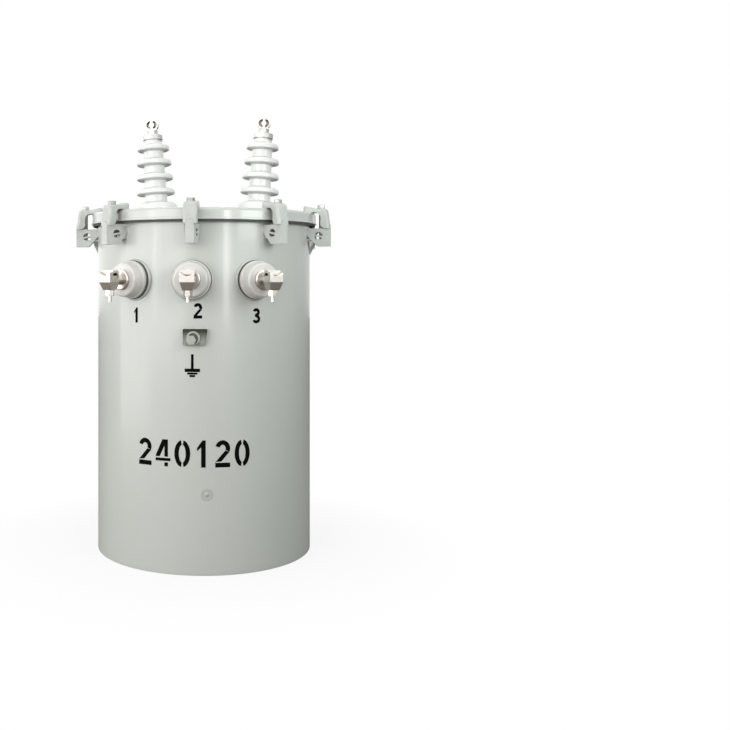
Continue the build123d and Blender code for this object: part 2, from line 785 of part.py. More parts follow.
# Its bolt: a ring on the pad, and a hexagonal head that sits low in the ring on a shank
ring_centre = (pad_shift + pad_ring_shift, -pad_ring_drop)
bolt_centre = (ring_centre[0] + pad_bolt_shift, ring_centre[1] - pad_bolt_drop)
with BuildPart() as ground_bolt:
    with BuildSketch(outward_plane(0, pad_level, pad_face)):
        with Locations(ring_centre):
            Circle(pad_ring_radius)
            Circle(pad_ring_bore, mode=Mode.SUBTRACT)
        with Locations(bolt_centre):
            Circle(pad_bolt_shank)
    extrude(amount=pad_ring_thickness)
    with BuildSketch(outward_plane(0, pad_level, pad_face + pad_ring_thickness)):
        with Locations(bolt_centre):
            RegularPolygon(pad_bolt_size / 2, 6, major_radius=False)
    extrude(amount=pad_bolt_height)

ground_bolt.part.label = "ground_bolt"
export_step(ground_bolt.part, "parts/ground_bolt.step")

# Lifting lugs: bent plates welded at their foot, standing off the wall above it
lug_inside = tank_radius + lug_gap
lug_outside = lug_inside + lug_thickness
lug_bend = lug_bottom + lug_bend_rise
lug_top = lug_bottom + lug_height
for azimuth, name in ((-90, "left"), (90, "right")):
    with BuildPart() as lifting_lug:
        with BuildSketch(section_plane(azimuth)):
            Polygon(
                (tank_inside, lug_bottom),
                (tank_radius + wall_thickness, lug_bottom),
                (lug_outside, lug_bend),
                (lug_outside, lug_top),
                (lug_inside, lug_top),
                (lug_inside, lug_bend),
                (tank_inside, lug_bottom + lug_thickness),
                align=None,
            )
        extrude(amount=lug_width / 2, both=True)
        fillet(lifting_lug.edges().filter_by(Axis.X).group_by(Axis.Z)[-1], lug_round)
        Cylinder(tank_radius, rim_top, align=(Align.CENTER, Align.CENTER, Align.MIN), mode=Mode.SUBTRACT)
    lifting_lug.part.label = f"lifting_lug_{name}"
    export_step(lifting_lug.part, f"parts/lifting_lug_{name}.step")

# Hanger brackets: bent plates at the back, each with a hole for a through bolt in the pole
bracket_outside = tank_radius + bracket_reach
for level, name in ((bracket_low_level, "lower"), (bracket_low_level + bracket_spacing, "upper")):
    with BuildPart() as hanger_bracket:
        with BuildSketch(Plane.XY.offset(level - bracket_height / 2)):
            with Locations((0, bracket_outside)):
                RectangleRounded(
                    bracket_width, tank_radius, bracket_bend, align=(Align.CENTER, Align.MAX)
                )
            with Locations((0, bracket_outside - bracket_sheet)):
                RectangleRounded(
                    bracket_width - 2 * bracket_sheet,
                    tank_radius,
                    bracket_bend - bracket_sheet,
                    align=(Align.CENTER, Align.MAX),
                    mode=Mode.SUBTRACT,
                )
        extrude(amount=bracket_height)
        with BuildSketch(outward_plane(180, level, bracket_outside)):
            Circle(bracket_hole_radius)
        extrude(amount=-2 * bracket_sheet, mode=Mode.SUBTRACT)
        Cylinder(tank_radius, rim_top, align=(Align.CENTER, Align.CENTER, Align.MIN), mode=Mode.SUBTRACT)
    hanger_bracket.part.label = f"hanger_bracket_{name}"
    export_step(hanger_bracket.part, f"parts/hanger_bracket_{name}.step")
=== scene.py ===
"""Looks of a pole mounted distribution transformer, dressed over its fixed frame of solids."""
import json
import logging
from dataclasses import dataclass
from enum import Enum
from math import cos, pi, radians, sin
from typing import Any, Protocol

import bmesh
import bpy
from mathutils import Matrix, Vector

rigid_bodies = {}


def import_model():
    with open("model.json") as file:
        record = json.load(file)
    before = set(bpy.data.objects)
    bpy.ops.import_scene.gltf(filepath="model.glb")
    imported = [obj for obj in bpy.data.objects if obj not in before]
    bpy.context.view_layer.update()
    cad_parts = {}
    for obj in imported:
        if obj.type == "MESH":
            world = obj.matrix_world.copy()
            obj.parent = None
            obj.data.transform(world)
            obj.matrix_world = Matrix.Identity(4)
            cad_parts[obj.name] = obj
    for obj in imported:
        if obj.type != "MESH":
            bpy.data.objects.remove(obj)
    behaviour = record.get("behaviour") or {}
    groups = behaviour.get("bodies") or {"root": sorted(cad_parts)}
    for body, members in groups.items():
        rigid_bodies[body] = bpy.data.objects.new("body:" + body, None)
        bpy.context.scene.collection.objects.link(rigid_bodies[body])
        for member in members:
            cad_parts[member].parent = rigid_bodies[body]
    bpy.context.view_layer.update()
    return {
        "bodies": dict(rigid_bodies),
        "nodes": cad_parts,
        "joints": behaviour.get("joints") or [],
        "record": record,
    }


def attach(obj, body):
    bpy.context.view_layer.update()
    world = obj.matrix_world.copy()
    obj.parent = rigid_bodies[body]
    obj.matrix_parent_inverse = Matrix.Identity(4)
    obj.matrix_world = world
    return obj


LOG = logging.getLogger("transformer")

# A millimetre and the radius of the tank's wall, in metres
MM = 0.001
TANK_RADIUS = 0.305

Pair = tuple[float, float]
Point = tuple[float, float, float]
Colour = tuple[float, float, float]
Outline = list[Pair]

# Linear colours of light
LAMP_WHITE: Colour = (1.0, 0.99, 0.975)
LAMP_COOL: Colour = (0.94, 1.0, 0.97)
PURE_WHITE: Colour = (1.0, 1.0, 1.0)


class Cut(Enum):
    """How a numeral is painted: in one piece, or through a stencil whose bridges cut it."""

    WHOLE = "whole"
    STENCIL = "stencil"


def linear(hex_colour: str) -> tuple[float, float, float, float]:
    """Turns an sRGB hex colour into linear RGBA.

    Args:
        hex_colour: six hex digits.

    Returns:
        The colour as linear red, green, blue and an alpha of 1.
    """
    channels = [int(hex_colour[i:i + 2], 16) / 255 for i in (0, 2, 4)]
    turned = [c / 12.92 if c <= 0.04045 else ((c + 0.055) / 1.055) ** 2.4 for c in channels]
    return (turned[0], turned[1], turned[2], 1.0)


def per_metre(size_mm: float) -> float:
    """Gives the texture scale at which one cell of a pattern is size_mm wide."""
    return 1000.0 / size_mm


def add_node(
    tree: bpy.types.NodeTree,
    kind: str,
    settings: dict[Any, Any] | None = None,
    links: dict[Any, bpy.types.NodeSocket] | None = None,
) -> bpy.types.Node:
    """Adds a node with its settings and links.

    Args:
        tree: the node tree that gets the node.
        kind: the node's type, such as ShaderNodeBump.
        settings: attributes of the node, or values of its inputs by name or number.
        links: output sockets that feed its inputs, by the input's name or number.

    Returns:
        The new node.
    """
    node = tree.nodes.new(kind)
    for name, value in (settings or {}).items():
        if isinstance(name, str) and hasattr(node, name):
            setattr(node, name, value)
        else:
            node.inputs[name].default_value = value
    for name, source in (links or {}).items():
        tree.links.new(source, node.inputs[name])
    return node


def new_tree(name: str) -> tuple[bpy.types.Material, bpy.types.NodeTree]:
    """Makes an empty node material.

    Args:
        name: the material's name.

    Returns:
        The material and its empty tree.
    """
    material = bpy.data.materials.new(name)
    material.use_nodes = True
    material.node_tree.nodes.clear()
    return material, material.node_tree


@dataclass(frozen=True)
class SprayedEnamel:
    """Alkyd enamel, sprayed on steel: even colour, soft gloss and a fine orange peel."""

    name: str
    colour: str
    shade: str
    roughness: float = 0.34
    gloss_swing: Pair = (-0.04, 0.05)
    ior: float = 1.5
    # The peel is drawn at the coarse end of what a spray gun leaves, so that it shows
    peel_mm: float = 3.2
    peel_height_mm: float = 0.035
    peel_strength: float = 0.35
    patch_mm: float = 170.0
    streak_mm: float = 24.0
    streak_stretch: float = 0.06
    streak_share: float = 0.05
    # Dust colour of the streaks, also used as painted shade in corners
    dust_and_shade: str = "9a968a"
    # Painted shade in corners: how near the surroundings count, and how dark it gets
    corner_mm: float = 12.0
    corner_shade_share: float = 0.35
    edge_mm: float = 1.0
    # How much of the paint's glossy top skin shows narrow reflections
    clear: float = 0.0
    clear_roughness: float = 0.14

    def material(self) -> bpy.types.Material:
        """Builds the enamel.

        Returns:
            The new material.
        """
        material, tree = new_tree(self.name)
        place = add_node(tree, "ShaderNodeTexCoord")
        # Broad patches where the coat is a little thicker or thinner
        patches = add_node(
            tree, "ShaderNodeTexNoise",
            {"Scale": per_metre(self.patch_mm), "Detail": 3.0, "Roughness": 0.5},
            {"Vector": place.outputs["Object"]},
        )
        spread = add_node(
            tree, "ShaderNodeMapRange",
            {"interpolation_type": "SMOOTHSTEP", "From Min": 0.2, "From Max": 0.8},
            {"Value": patches.outputs["Fac"]},
        )
        body = add_node(
            tree, "ShaderNodeMixRGB", {"Color1": linear(self.colour), "Color2": linear(self.shade)},
            {"Fac": spread.outputs["Result"]},
        )
        # Faint streaks that run down the wall
        stretch = add_node(
            tree, "ShaderNodeMapping", {"Scale": (1.0, 1.0, self.streak_stretch)},
            {"Vector": place.outputs["Object"]},
        )
        streaks = add_node(
            tree, "ShaderNodeTexNoise", {"Scale": per_metre(self.streak_mm), "Detail": 4.0},
            {"Vector": stretch.outputs["Vector"]},
        )
        streak_share = add_node(
            tree, "ShaderNodeMapRange",
            {
                "interpolation_type": "SMOOTHSTEP",
                "From Min": 0.5, "From Max": 0.85, "To Max": self.streak_share,
            },
            {"Value": streaks.outputs["Fac"]},
        )
        streaked = add_node(
            tree, "ShaderNodeMixRGB", {"Color2": linear(self.dust_and_shade)},
            {"Fac": streak_share.outputs["Result"], "Color1": body.outputs["Color"]},
        )
        # Painted shade: the dust colour darkens corners and holes between welded pieces, where shade falls
        corner = add_node(
            tree, "ShaderNodeAmbientOcclusion", {"samples": 4, "Distance": self.corner_mm * MM}
        )
        corner_shade_share = add_node(
            tree, "ShaderNodeMapRange",
            {"From Min": 0.85, "From Max": 0.2, "To Min": 0.0, "To Max": self.corner_shade_share},
            {"Value": corner.outputs["AO"]},
        )
        corner_shaded = add_node(
            tree, "ShaderNodeMixRGB", {"Color2": linear(self.dust_and_shade)},
            {"Fac": corner_shade_share.outputs["Result"], "Color1": streaked.outputs["Color"]},
        )
        low, high = self.gloss_swing
        gloss = add_node(
            tree, "ShaderNodeMapRange", {"To Min": self.roughness + low, "To Max": self.roughness + high},
            {"Value": patches.outputs["Fac"]},
        )
        soft_edge = add_node(tree, "ShaderNodeBevel", {"samples": 4, "Radius": self.edge_mm * MM})
        peel = add_node(
            tree, "ShaderNodeTexNoise", {"Scale": per_metre(self.peel_mm), "Detail": 2.0},
            {"Vector": place.outputs["Object"]},
        )
        bump = add_node(
            tree, "ShaderNodeBump", {"Strength": self.peel_strength, "Distance": self.peel_height_mm * MM},
            {"Height": peel.outputs["Fac"], "Normal": soft_edge.outputs["Normal"]},
        )
        shader = add_node(
            tree, "ShaderNodeBsdfPrincipled",
            {"IOR": self.ior, "Coat Weight": self.clear, "Coat Roughness": self.clear_roughness},
            {
                "Base Color": corner_shaded.outputs["Color"],
                "Roughness": gloss.outputs["Result"],
                "Normal": bump.outputs["Normal"],
            },
        )
        add_node(tree, "ShaderNodeOutputMaterial", links={"Surface": shader.outputs["BSDF"]})
        return material


@dataclass(frozen=True)
class GlazedPorcelain:
    """Wet process porcelain under a clear glaze: deep gloss, slow waves, a few specks and painted shade on
    faces that look down.
    """

    name: str
    colour: str
    shade: str
    roughness: float = 0.14
    ior: float = 1.52
    wave_mm: float = 26.0
    wave_height_mm: float = 0.12
    wave_strength: float = 0.25
    speck: str = "8d8a84"
    speck_mm: float = 2.2
    # How far apart the specks are, in widths of a speck
    speck_gap: float = 4.0
    speck_share: float = 0.35
    # Painted shade under the sheds: its colour, and how much of it shows on faces that look down
    under_shade_colour: str = "6f726e"
    under_shade_share: float = 0.8

    def material(self) -> bpy.types.Material:
        """Builds the porcelain.

        Returns:
            The new material.
        """
        material, tree = new_tree(self.name)
        place = add_node(tree, "ShaderNodeTexCoord")
        # The glaze pools and thins slowly round the sheds
        pool = add_node(
            tree, "ShaderNodeTexNoise", {"Scale": per_metre(self.wave_mm), "Detail": 2.0},
            {"Vector": place.outputs["Object"]},
        )
        body = add_node(
            tree, "ShaderNodeMixRGB", {"Color1": linear(self.colour), "Color2": linear(self.shade)},
            {"Fac": pool.outputs["Fac"]},
        )
        # Rare iron specks in the clay
        specks = add_node(
            tree, "ShaderNodeTexVoronoi", {"Scale": per_metre(self.speck_gap * self.speck_mm)},
            {"Vector": place.outputs["Object"]},
        )
        speck_share = add_node(
            tree, "ShaderNodeMapRange", {"From Min": 0.10, "From Max": 0.06, "To Max": self.speck_share},
            {"Value": specks.outputs["Distance"]},
        )
        specked = add_node(
            tree, "ShaderNodeMixRGB", {"Color2": linear(self.speck)},
            {"Fac": speck_share.outputs["Result"], "Color1": body.outputs["Color"]},
        )
        # Painted shade: faces that look down are darkened towards grey, where shade falls under the sheds
        facing = add_node(tree, "ShaderNodeNewGeometry")
        turned = add_node(tree, "ShaderNodeSeparateXYZ", links={"Vector": facing.outputs["Normal"]})
        under_shade_mask = add_node(
            tree, "ShaderNodeMapRange",
            {"From Min": -0.25, "From Max": -0.8, "To Min": 0.0, "To Max": self.under_shade_share},
            {"Value": turned.outputs["Z"]},
        )
        under_shaded = add_node(
            tree, "ShaderNodeMixRGB", {"Color2": linear(self.under_shade_colour)},
            {"Fac": under_shade_mask.outputs["Result"], "Color1": specked.outputs["Color"]},
        )
        bump = add_node(
            tree, "ShaderNodeBump", {"Strength": self.wave_strength, "Distance": self.wave_height_mm * MM},
            {"Height": pool.outputs["Fac"]},
        )
        shader = add_node(
            tree, "ShaderNodeBsdfPrincipled", {"IOR": self.ior, "Roughness": self.roughness},
            {"Base Color": under_shaded.outputs["Color"], "Normal": bump.outputs["Normal"]},
        )
        add_node(tree, "ShaderNodeOutputMaterial", links={"Surface": shader.outputs["BSDF"]})
        return material


@dataclass(frozen=True)
class WorkedMetal:
    """Cast, plated or bare metal: its own colour, oxide and painted shade in the hollows, painted shade on
    faces that look down, and a fine grain.
    """

    name: str
    colour: str
    oxide_and_shade: str
    roughness: float
    # The grain of a plated or cast face is finer, and is drawn coarser so that it shows
    grain_mm: float
    grain_height_mm: float
    grain_strength: float = 0.4
    gloss_swing: Pair = (-0.05, 0.08)
    # A stain's width in grains, and how much of the oxide it shows
    stain_grains: float = 9.0
    stain_share: float = 0.3
    # Oxide and painted shade in hollows: how near the surroundings count, and how much shows
    hollow_mm: float = 10.0
    hollow_share: float = 0.9
    # Painted shade on faces that look down, in the oxide colour
    under_shade_share: float = 0.0
    # The heights in metres between which a darkening grows from none to its full share
    dark_from: float = 0.0
    dark_to: float = 1.0
    dark_share: float = 0.0
    edge_mm: float = 0.8

    def material(self) -> bpy.types.Material:
        """Builds the metal.

        Returns:
            The new material.
        """
        material, tree = new_tree(self.name)
        place = add_node(tree, "ShaderNodeTexCoord")
        # A fine grain, and broad stains of the oxide
        grain = add_node(
            tree, "ShaderNodeTexNoise", {"Scale": per_metre(self.grain_mm), "Detail": 5.0, "Roughness": 0.6},
            {"Vector": place.outputs["Object"]},
        )
        blotch = add_node(
            tree, "ShaderNodeTexNoise",
            {"Scale": per_metre(self.stain_grains * self.grain_mm), "Detail": 3.0},
            {"Vector": place.outputs["Object"]},
        )
        stain = add_node(
            tree, "ShaderNodeMapRange", {"From Min": 0.45, "From Max": 0.75, "To Max": self.stain_share},
            {"Value": blotch.outputs["Fac"]},
        )
        # Oxide in hollows, where no hand or rain rubs it off, and painted shade there too, where the
        # surroundings are close
        hollow = add_node(
            tree, "ShaderNodeAmbientOcclusion", {"samples": 6, "Distance": self.hollow_mm * MM}
        )
        hollow_share = add_node(
            tree, "ShaderNodeMapRange",
            {"From Min": 0.75, "From Max": 0.2, "To Min": 0.0, "To Max": self.hollow_share},
            {"Value": hollow.outputs["AO"]},
        )
        # Painted shade: the oxide colour also darkens surfaces that face down
        facing = add_node(tree, "ShaderNodeNewGeometry")
        turned = add_node(tree, "ShaderNodeSeparateXYZ", links={"Vector": facing.outputs["Normal"]})
        under_shade_mask = add_node(
            tree, "ShaderNodeMapRange",
            {"From Min": 0.1, "From Max": -0.6, "To Min": 0.0, "To Max": self.under_shade_share},
            {"Value": turned.outputs["Z"]},
        )
        # Darker towards a piece's upper edge, fading lower down
        level = add_node(tree, "ShaderNodeSeparateXYZ", links={"Vector": facing.outputs["Position"]})
        height_dark = add_node(
            tree, "ShaderNodeMapRange",
            {"From Min": self.dark_from, "From Max": self.dark_to, "To Max": self.dark_share},
            {"Value": level.outputs["Z"]},
        )
        # Each place shows the strongest of the four
        stain_or_height_dark = add_node(
            tree, "ShaderNodeMath", {"operation": "MAXIMUM"},
            {0: stain.outputs["Result"], 1: height_dark.outputs["Result"]},
        )
        stain_oxide_or_shade = add_node(
            tree, "ShaderNodeMath", {"operation": "MAXIMUM"},
            {0: stain_or_height_dark.outputs["Value"], 1: hollow_share.outputs["Result"]},
        )
        total = add_node(
            tree, "ShaderNodeMath", {"operation": "MAXIMUM"},
            {0: stain_oxide_or_shade.outputs["Value"], 1: under_shade_mask.outputs["Result"]},
        )
        body = add_node(
            tree, "ShaderNodeMixRGB", {"Color1": linear(self.colour), "Color2": linear(self.oxide_and_shade)},
            {"Fac": total.outputs["Value"]},
        )
        low, high = self.gloss_swing
        gloss = add_node(
            tree, "ShaderNodeMapRange",
            {
                "From Min": 0.3, "From Max": 0.7,
                "To Min": self.roughness + low, "To Max": self.roughness + high,
            },
            {"Value": grain.outputs["Fac"]},
        )
        soft_edge = add_node(tree, "ShaderNodeBevel", {"samples": 4, "Radius": self.edge_mm * MM})
        bump = add_node(
            tree, "ShaderNodeBump",
            {"Strength": self.grain_strength, "Distance": self.grain_height_mm * MM},
            {"Height": grain.outputs["Fac"], "Normal": soft_edge.outputs["Normal"]},
        )
        shader = add_node(
            tree, "ShaderNodeBsdfPrincipled", {"Metallic": 1.0},
            {
                "Base Color": body.outputs["Color"],
                "Roughness": gloss.outputs["Result"],
                "Normal": bump.outputs["Normal"],
            },
        )
        add_node(tree, "ShaderNodeOutputMaterial", links={"Surface": shader.outputs["BSDF"]})
        return material


@dataclass(frozen=True)
class MattCoat:
    """Matt moulded rubber, stencil paint or a sealed filling: one colour and a dry grain."""

    name: str
    colour: str
    shade: str
    roughness: float
    grain_mm: float
    grain_height_mm: float
    grain_strength: float = 0.4
    ior: float = 1.45
    # How much it mirrors: 0.5 is what its IOR gives
    shine: float = 0.5

    def material(self) -> bpy.types.Material:
        """Builds the coat.

        Returns:
            The new material.
        """
        material, tree = new_tree(self.name)
        place = add_node(tree, "ShaderNodeTexCoord")
        # One grain moves the colour and the surface together
        grain = add_node(
            tree, "ShaderNodeTexNoise", {"Scale": per_metre(self.grain_mm), "Detail": 4.0},
            {"Vector": place.outputs["Object"]},
        )
        body = add_node(
            tree, "ShaderNodeMixRGB", {"Color1": linear(self.colour), "Color2": linear(self.shade)},
            {"Fac": grain.outputs["Fac"]},
        )
        bump = add_node(
            tree, "ShaderNodeBump",
            {"Strength": self.grain_strength, "Distance": self.grain_height_mm * MM},
            {"Height": grain.outputs["Fac"]},
        )
        shader = add_node(
            tree, "ShaderNodeBsdfPrincipled",
            {"Roughness": self.roughness, "IOR": self.ior, "Specular IOR Level": self.shine},
            {"Base Color": body.outputs["Color"], "Normal": bump.outputs["Normal"]},
        )
        add_node(tree, "ShaderNodeOutputMaterial", links={"Surface": shader.outputs["BSDF"]})
        return material


class Finish(Protocol):
    """Anything that can build its own material."""

    def material(self) -> bpy.types.Material:
        """Builds the material."""
        ...


def dress(frame: dict[str, Any], finish: Finish, *names: str) -> bpy.types.Material:
    """Gives solids of the frame a finish.

    Args:
        finish: the finish that they get.
        names: the nodes that get it.

    Returns:
        The material, for pieces that share it.
    """
    material = finish.material()
    for name in names:
        node = frame["nodes"][name]
        if not node.material_slots:
            node.data.materials.append(material)
        for slot in node.material_slots:
            slot.material = material
        LOG.info("%s dressed in %s", name, material.name)
    return material


def add_piece(
    name: str, body: bmesh.types.BMesh, material: bpy.types.Material
) -> None:
    """Turns a mesh in code into a piece that rides on the transformer.

    Args:
        name: the piece's name.
        body: its mesh, which is used up.
        material: its finish.
    """
    mesh = bpy.data.meshes.new(name)
    bmesh.ops.recalc_face_normals(body, faces=body.faces)
    body.to_mesh(mesh)
    body.free()
    mesh.polygons.foreach_set("use_smooth", [True] * len(mesh.polygons))
    mesh.materials.append(material)
    piece = bpy.data.objects.new(name, mesh)
    bpy.context.scene.collection.objects.link(piece)
    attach(piece, "root")
    LOG.info("%s made of %s", name, material.name)


def on_wall(azimuth: float, sideways: float, height: float, proud: float) -> Vector:
    """Gives a point on the tank's wall.

    Args:
        azimuth: degrees from the front towards +X.
        sideways: metres along the wall from that azimuth.
        height: metres above the floor.
        proud: metres off the wall.

    Returns:
        The point in the frame of the solids.
    """
    turn = radians(azimuth) + sideways / TANK_RADIUS
    reach = TANK_RADIUS + proud
    return Vector((reach * sin(turn), -reach * cos(turn), height))


def arc(centre: Pair, radii: Pair, start: float, end: float, steps: int = 14) -> Outline:
    """Gives points on an ellipse's arc, in the order from start to end in degrees."""
    turns = [radians(start + (end - start) * i / steps) for i in range(steps + 1)]
    return [(centre[0] + radii[0] * cos(t), centre[1] + radii[1] * sin(t)) for t in turns]


def band(centre: Pair, radii: Pair, stroke: float, start: float, end: float) -> Outline:
    """Gives the outline of a curved stroke: an outer arc and the inner one back."""
    inner = (radii[0] - stroke, radii[1] - stroke)
    return arc(centre, radii, start, end) + arc(centre, inner, end, start)


@dataclass(frozen=True)
class Numerals:
    """Outlines of bold numerals in a box 0.6 wide and 1 high, whole or cut by a stencil's bridges."""

    width: float = 0.6
    stroke: float = 0.17
    bridge_degrees: float = 9.0
    bridge_height: float = 0.05

    def glyph(self, digit: str, cut: Cut, shift: float) -> list[Outline]:
        """Gives the outlines of one numeral.

        Args:
            digit: the numeral.
            cut: whole, or with a stencil's bridges.
            shift: how far to the right its box starts.

        Returns:
            One outline for each patch of paint.
        """
        s = self.stroke
        gap = self.bridge_degrees if cut is Cut.STENCIL else 0.0
        bridge = self.bridge_height if cut is Cut.STENCIL else 0.0
        shapes: dict[str, list[Outline]] = {
            "0": [
                band((0.3, 0.5), (0.3, 0.5), s, 90 + gap, 270 - gap),
                band((0.3, 0.5), (0.3, 0.5), s, -90 + gap, 90 - gap),
            ],
            "1": [[
                (0.1, 0.72), (0.3, 1.0), (0.42, 1.0), (0.42, 0.0),
                (0.42 - s, 0.0), (0.42 - s, 0.74), (0.1, 0.6),
            ]],
            "2": [
                band((0.3, 0.7), (0.28, 0.3), s, 165, -25),
                [(0.56, 0.57), (0.4, 0.62), (0.03, 0.2), (0.03, s + bridge), (0.25, s + bridge)],
                [(0.02, 0.0), (0.58, 0.0), (0.58, s), (0.02, s)],
            ],
            "3": [
                arc((0.28, 0.73), (0.27, 0.27), 160, -49)
                + arc((0.28, 0.29), (0.3, 0.29), 54, -160)
                + arc((0.28, 0.29), (0.3 - s, 0.29 - s), -160, 90)
                + [(0.17, 0.45), (0.17, 0.59)]
                + arc((0.28, 0.73), (0.27 - s, 0.27 - s), -90, 160),
            ],
            "4": [
                [(0.36, 1.0), (0.36, 0.76), (0.17, 0.36), (0.0, 0.36), (0.0, 0.38), (0.28, 1.0)],
                [(0.0, 0.2), (0.6, 0.2), (0.6, 0.36 - bridge), (0.0, 0.36 - bridge)],
                [(0.36, 1.0), (0.5, 1.0), (0.5, 0.36), (0.36, 0.36)],
                [(0.36, 0.2 - bridge), (0.5, 0.2 - bridge), (0.5, 0.0), (0.36, 0.0)],
            ],
        }
        return [[(x + shift, y) for x, y in outline] for outline in shapes[digit]]


@dataclass(frozen=True)
class Bar:
    """A rectangle of the earth sign, centred sideways, in metres."""

    width: float
    low: float
    high: float

    def outline(self) -> Outline:
        """Gives its four corners."""
        half = self.width / 2
        return [(-half, self.low), (half, self.low), (half, self.high), (-half, self.high)]


@dataclass
class Markings:
    """Black paint on the wall: bushing numbers, the earth sign and the large stencilled number."""

    # How far the paint stands off the wall, how wide the strips are that bend round it, and
    # how close corners have to be to become one
    proud: float = 0.18 * MM
    strip: float = 4.0 * MM
    same_corner: float = 1e-6
    # The bold numerals below the bushings
    bushing_stroke: float = 0.2
    bushing_azimuths: tuple[float, ...] = (-30.1, 2.7, 32.4)
    bushing_levels: tuple[float, ...] = (0.650, 0.663, 0.649)
    bushing_height: float = 0.040
    # The stencilled number on the middle of the wall
    number: str = "240120"
    number_height: float = 0.070
    number_level: float = 0.279
    number_pitch: float = 0.0525
    # The earth sign: three bars and the stem over them
    earth_level: float = 0.512
    earth_bars: tuple[Bar, ...] = (
        Bar(0.040, 0.0130, 0.0218), Bar(0.027, 0.0066, 0.0118), Bar(0.0145, 0.0000, 0.0056),
    )
    earth_stem: Bar = Bar(0.007, 0.0218, 0.059)
    # Flat black stencil paint, brushed on: no gloss, so it stays dark beside bright enamel
    paint: MattCoat = MattCoat("stencil_paint_brushed", "050505", "0b0b0c", 0.85, 2.6, 0.02, shine=0.06)

    def lay(
        self,
        name: str,
        paint: bpy.types.Material,
        outlines: list[Outline],
        azimuth: float,
        level: float,
        scale: float,
    ) -> None:
        """Lays flat outlines on the curved wall.

        Args:
            name: the piece's name.
            paint: its material.
            outlines: closed outlines, in units of the scale, with x to the right and y up.
            azimuth: degrees from the front of the place where x is 0.
            level: height in metres of the place where y is 0.
            scale: metres for each unit.
        """
        body = bmesh.new()
        for outline in outlines:
            rim = [body.verts.new((x * scale, 0.0, y * scale)) for x, y in outline]
            body.faces.new(rim)
        bmesh.ops.remove_doubles(body, verts=body.verts, dist=self.same_corner)
        bmesh.ops.triangulate(body, faces=body.faces)
        # Upright cuts let the flat shapes bend round the wall
        edges = [v.co.x for v in body.verts]
        place = min(edges) + self.strip
        while place < max(edges):
            parts = body.verts[:] + body.edges[:] + body.faces[:]
            bmesh.ops.bisect_plane(body, geom=parts, plane_co=(place, 0, 0), plane_no=(1, 0, 0))
            place += self.strip
        for vert in body.verts:
            vert.co = on_wall(azimuth, vert.co.x, level + vert.co.z, self.proud)
        add_piece(name, body, paint)

    def build(self) -> None:
        """Paints every mark."""
        paint = self.paint.material()
        bold = Numerals(stroke=self.bushing_stroke)
        for i, azimuth in enumerate(self.bushing_azimuths):
            outlines = bold.glyph(str(i + 1), Cut.WHOLE, -bold.width / 2)
            level = self.bushing_levels[i]
            self.lay(f"bushing_number_{i + 1}", paint, outlines, azimuth, level, self.bushing_height)
        stencil = Numerals()
        start = -self.number_pitch * (len(self.number) - 1) / 2
        outlines = []
        for i, digit in enumerate(self.number):
            shift = (start + i * self.number_pitch) / self.number_height - stencil.width / 2
            outlines += stencil.glyph(digit, Cut.STENCIL, shift)
        self.lay("stencilled_number", paint, outlines, 0.0, self.number_level, self.number_height)
        outlines = [bar.outline() for bar in (*self.earth_bars, self.earth_stem)]
        self.lay("earth_sign", paint, outlines, 0.0, self.earth_level, 1.0)


